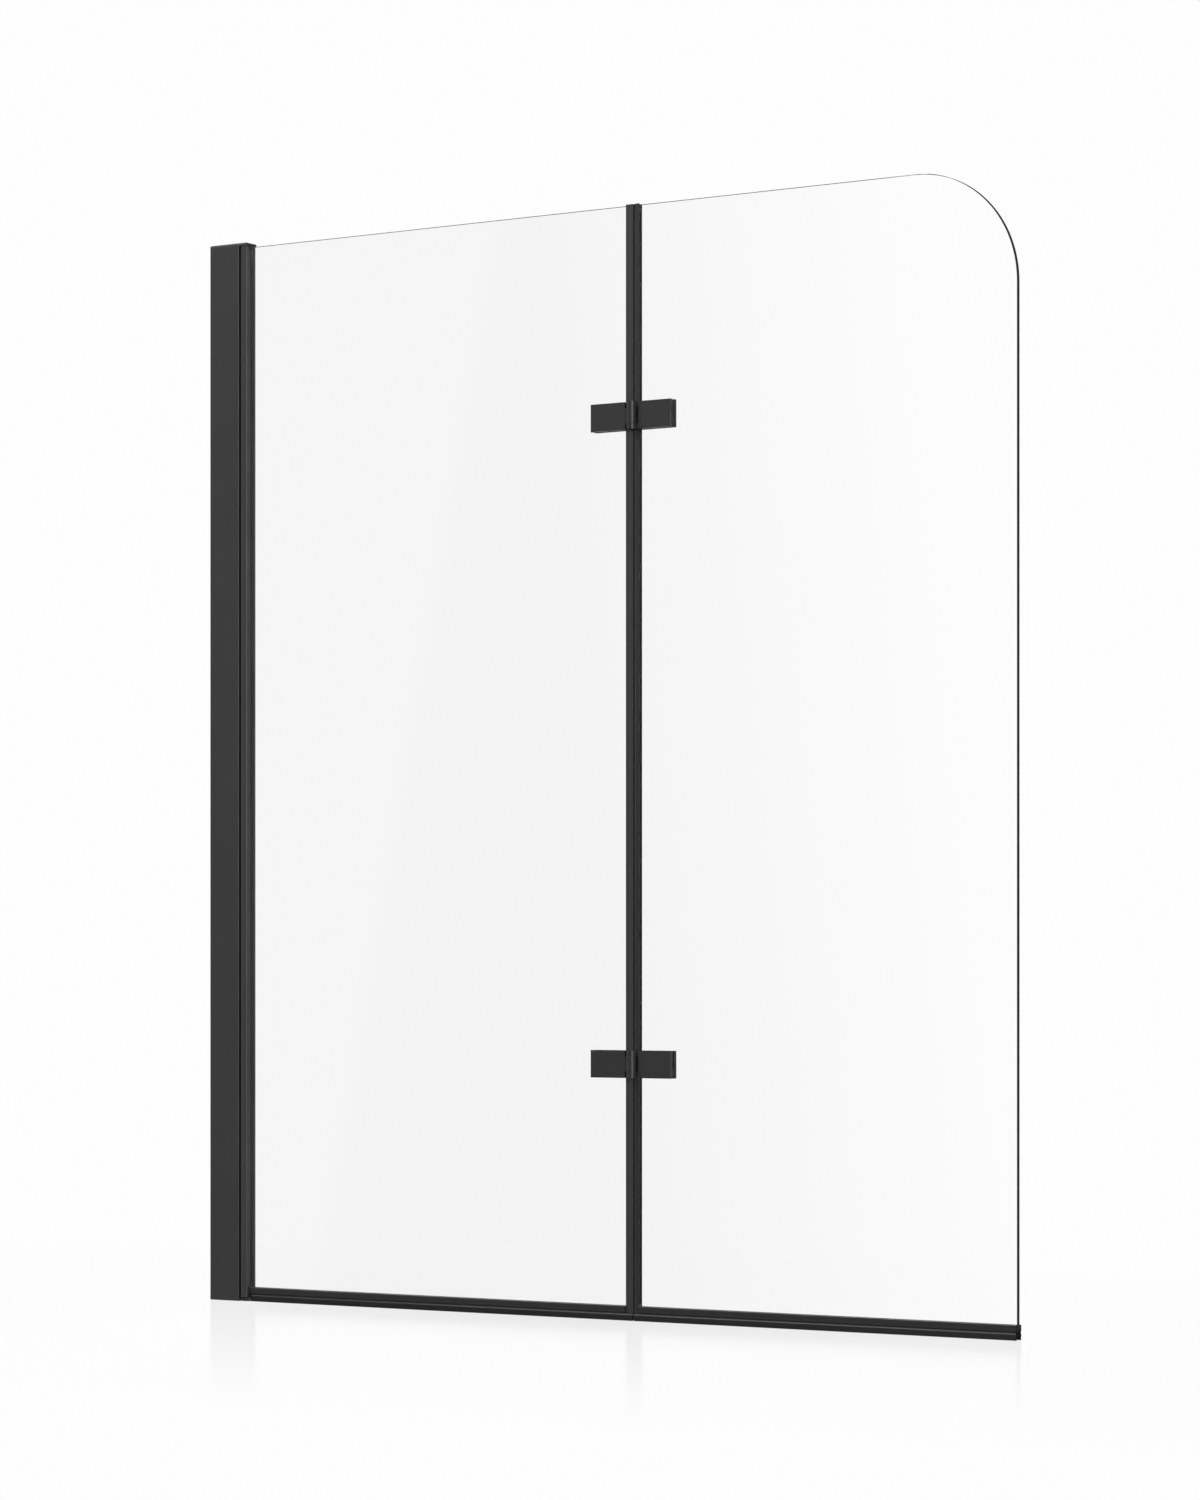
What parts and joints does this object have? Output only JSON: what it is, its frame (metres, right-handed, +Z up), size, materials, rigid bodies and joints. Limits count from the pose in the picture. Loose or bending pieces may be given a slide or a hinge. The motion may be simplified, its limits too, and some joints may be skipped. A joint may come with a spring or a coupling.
{
  "type": "folding bath screen",
  "caption": "Folding bath screen: glass panels on a pivoting post in a wall channel, joined by glass-to-glass hinges, with wiper seals below and a round top corner at the free end.",
  "frame": {"origin": "on the wall face, in the glass's middle plane, at the level of the bath rim", "axes": "+X from the wall along the screen, +Y to the back, -Y to the front where the outer panel folds, +Z up"},
  "size_m": [1.2, 0.0309, 1.4],
  "materials": {
    "black_aluminium": "matt black powder coat",
    "plain_aluminium": "mill finish",
    "clear_glass": "clear toughened glass, polished edges",
    "black_plastic": "matt",
    "white_nylon": "natural nylon",
    "black_seal": "matt",
    "stainless_steel": "plain stainless"
  },
  "bodies": {
    "wall_frame": {"wall_profile": "plain_aluminium", "cover_channel": "black_aluminium", "nose_seal": "black_seal", "fixing_screws": "stainless_steel", "fixing_screw_covers": "black_plastic", "top_pivot_cap": "black_plastic", "top_cap_screw": "stainless_steel", "bottom_pivot_cap": "black_plastic", "bottom_cap_screw": "stainless_steel", "bottom_pivot_pin": "stainless_steel", "bottom_thrust_washer": "black_plastic", "top_pivot_pin": "stainless_steel", "top_thrust_washer": "black_plastic"},
    "inner_panel": {"pivot_post": "black_aluminium", "glazing_gasket": "black_seal", "bottom_pivot_block": "black_plastic", "top_pivot_block": "black_plastic", "pivot_block_screws": "stainless_steel", "inner_glass": "clear_glass", "inner_edge_seal": "black_seal", "inner_bottom_rail": "black_plastic", "inner_rail_liners": "black_seal", "inner_wiper": "black_seal", "upper_inner_leaf": "black_aluminium", "upper_inner_back_plate": "black_aluminium", "upper_inner_gaskets": "black_seal", "upper_inner_sleeves": "white_nylon", "upper_inner_clamp_screws": "stainless_steel", "lower_inner_leaf": "black_aluminium", "lower_inner_back_plate": "black_aluminium", "lower_inner_gaskets": "black_seal", "lower_inner_sleeves": "white_nylon", "lower_inner_clamp_screws": "stainless_steel"},
    "outer_panel": {"outer_glass": "clear_glass", "outer_edge_seal": "black_seal", "outer_bottom_rail": "black_plastic", "outer_rail_liners": "black_seal", "outer_wiper": "black_seal", "upper_outer_leaf": "black_aluminium", "upper_outer_back_plate": "black_aluminium", "upper_outer_gaskets": "black_seal", "upper_outer_sleeves": "white_nylon", "upper_outer_clamp_screws": "stainless_steel", "lower_outer_leaf": "black_aluminium", "lower_outer_back_plate": "black_aluminium", "lower_outer_gaskets": "black_seal", "lower_outer_sleeves": "white_nylon", "lower_outer_clamp_screws": "stainless_steel", "upper_hinge_pin": "stainless_steel", "lower_hinge_pin": "stainless_steel", "upper_hinge_washers": "black_plastic", "lower_hinge_washers": "black_plastic"}
  },
  "joints": [
    {"name": "wall_pivot", "type": "hinge", "parent": "wall_frame", "child": "inner_panel", "pos_m": [0.0562, 0, 0.7], "axis": [0, 0, -1], "range_deg": [-90, 90]},
    {"name": "centre_fold", "type": "hinge", "parent": "inner_panel", "child": "outer_panel", "pos_m": [0.6625, -0.0095, 0.7], "axis": [0, 0, -1], "range_deg": [0, 180]}
  ]
}
